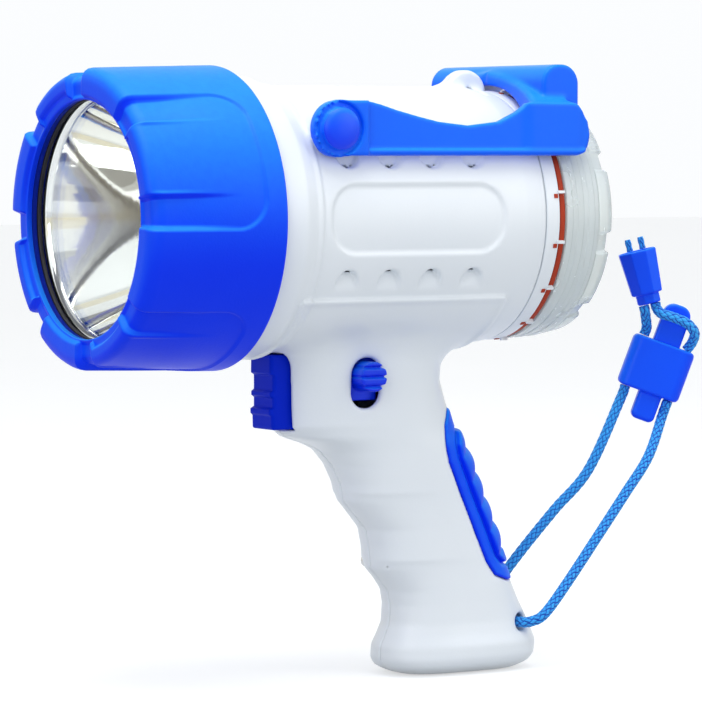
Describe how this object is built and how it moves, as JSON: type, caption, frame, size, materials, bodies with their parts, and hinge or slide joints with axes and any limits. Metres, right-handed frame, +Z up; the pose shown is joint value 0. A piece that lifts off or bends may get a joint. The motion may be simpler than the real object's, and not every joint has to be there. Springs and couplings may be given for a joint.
{
  "type": "rechargeable led spotlight",
  "caption": "Pistol-grip handheld spotlight with rubber bezel, chrome reflector, white barrel, trigger, slide lock, folding carry handle, clear rear cap and wrist cord with a cord lock.",
  "frame": {"origin": "middle of the flat face under the grip, on the plane that parts the two housing halves", "axes": "-X is the way the beam leaves, -Y is the flank with the slide lock, +Z is up"},
  "size_m": [0.2789, 0.1144, 0.2353],
  "materials": {
    "white_shell": "cool white moulded plastic, fine satin texture",
    "blue_rubber": "saturated blue rubber overmould, satin",
    "blue_plastic": "saturated blue moulded plastic, semi-matt",
    "lock_plastic": "blue moulded plastic, semi-matt",
    "blue_braid": "braided blue synthetic cord",
    "clear_plastic": "milky clear moulded plastic",
    "lens_plastic": "clear polished lens",
    "red_silicone": "red-brown silicone seal",
    "reflector_chrome": "mirror-bright vacuum-plated bowl",
    "black_rubber": "black rubber gasket",
    "black_plastic": "black moulded plastic",
    "plated_steel": "plated steel",
    "aluminium": "bare cast aluminium",
    "circuit_board": "green solder mask",
    "led_phosphor": "yellow phosphor under clear resin",
    "cell_can": "cell can in a shrink sleeve",
    "brass_contact": "spring brass strip",
    "wire_sleeve": "red insulated wire"
  },
  "bodies": {
    "housing": {"housing_near": "white_shell", "housing_far": "white_shell", "bezel": "blue_rubber", "head_ring": "black_plastic", "lens_gasket": "black_rubber", "lens": "lens_plastic", "reflector": "reflector_chrome", "led_board": "aluminium", "led_emitter": "led_phosphor", "heat_sink": "aluminium", "led_wire": "wire_sleeve", "driver_board": "circuit_board", "driver_capacitor": "plated_steel", "driver_coil": "black_plastic", "cell_wire": "wire_sleeve", "cell_front": "cell_can", "cell_rear": "cell_can", "contact_top": "brass_contact", "contact_bottom": "brass_contact", "trigger_switch": "black_plastic", "slide_switch": "black_plastic", "backstrap": "blue_rubber", "pivot_pin_near": "plated_steel", "pivot_pin_far": "plated_steel", "rear_ring": "white_shell", "rear_seal": "red_silicone", "charge_socket": "black_plastic", "charge_lamp": "led_phosphor", "housing_screw_1": "plated_steel", "housing_screw_2": "plated_steel", "housing_screw_3": "plated_steel", "housing_screw_4": "plated_steel", "housing_screw_5": "plated_steel", "cord_near": "blue_braid", "cord_far": "blue_braid", "cord_lock_body": "lock_plastic", "cord_link_left": "blue_braid", "cord_link_right": "blue_braid", "cord_bell": "lock_plastic", "cord_tail_left": "blue_braid", "cord_tail_right": "blue_braid"},
    "stand": {"stand": "blue_plastic", "pivot_cap_near": "blue_plastic", "pivot_cap_far": "blue_plastic"},
    "trigger": {"trigger": "blue_plastic", "trigger_spring": "plated_steel"},
    "lock_slider": {"lock_slider": "blue_plastic"},
    "rear_cap": {"rear_cap": "clear_plastic"},
    "cord_lock_plunger": {"cord_lock_plunger": "lock_plastic", "cord_lock_spring": "plated_steel"}
  },
  "joints": [
    {"name": "stand_fold", "type": "hinge", "parent": "housing", "child": "stand", "pos_m": [-0.0816, 0, 0.2104], "axis": [0, -1, 0], "range_deg": [0, 150]},
    {"name": "trigger_press", "type": "slide", "parent": "housing", "child": "trigger", "axis": [1, 0, 0], "range_m": [0, 0.0045], "stiffness_N_per_m": 600, "springref_m": -0.003, "deforming": ["trigger_spring"]},
    {"name": "lock_slide", "type": "slide", "parent": "housing", "child": "lock_slider", "axis": [0, 0, -1], "range_m": [0, 0.0065]},
    {"name": "rear_cap_turn", "type": "hinge", "parent": "housing", "child": "rear_cap", "pos_m": [0.03, 0, 0.177], "axis": [1, 0, 0], "range_deg": [0, 45]},
    {"name": "cord_lock_press", "type": "slide", "parent": "housing", "child": "cord_lock_plunger", "axis": [-0.2901, 0.1812, -0.9397], "range_m": [0, 0.004], "stiffness_N_per_m": 500, "springref_m": -0.003, "deforming": ["cord_lock_spring"]}
  ]
}
